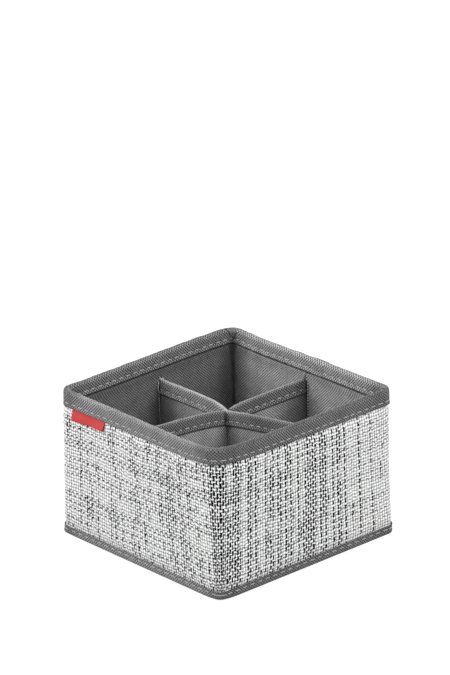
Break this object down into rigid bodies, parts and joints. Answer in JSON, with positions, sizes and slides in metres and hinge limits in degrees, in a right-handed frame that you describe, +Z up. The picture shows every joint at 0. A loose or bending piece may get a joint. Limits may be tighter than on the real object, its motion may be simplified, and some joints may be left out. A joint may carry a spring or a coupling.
{
  "type": "makeup organizer",
  "caption": "Square open-topped cloth organizer with stiffened walls, bound rim and base, and a sewn-in cross of dividers that makes the compartments.",
  "frame": {"origin": "middle of the face that the box stands on, at the lowest point of the base tape", "axes": "+Z up out of the open top; -Y towards the front wall, which carries the side label; +X towards the right wall"},
  "size_m": [0.15, 0.15, 0.1],
  "materials": {
    "tweed": "coarse plain-weave tweed of white, grey and black yarns",
    "lining": "mid-grey spunbond non-woven cloth with a diamond emboss",
    "tape": "grey non-woven binding tape, folded and stitched",
    "card": "plain grey-brown card",
    "label": "plain red woven tab"
  },
  "bodies": {
    "root": {"base_binding": "tape", "base_cover": "lining", "base_board": "card", "base_lining": "lining", "outer_cover": "tweed", "front_wall_board": "card", "right_wall_board": "card", "rear_wall_board": "card", "left_wall_board": "card", "front_left_lining": "lining", "front_right_lining": "lining", "rear_left_lining": "lining", "rear_right_lining": "lining", "rim_binding": "tape", "long_divider_board": "card", "long_divider_cover": "lining", "long_divider_binding": "tape", "rear_divider_board": "card", "rear_divider_cover": "lining", "rear_divider_binding": "tape", "front_divider_board": "card", "front_divider_cover": "lining", "front_divider_binding": "tape", "side_label": "label"}
  },
  "joints": []
}
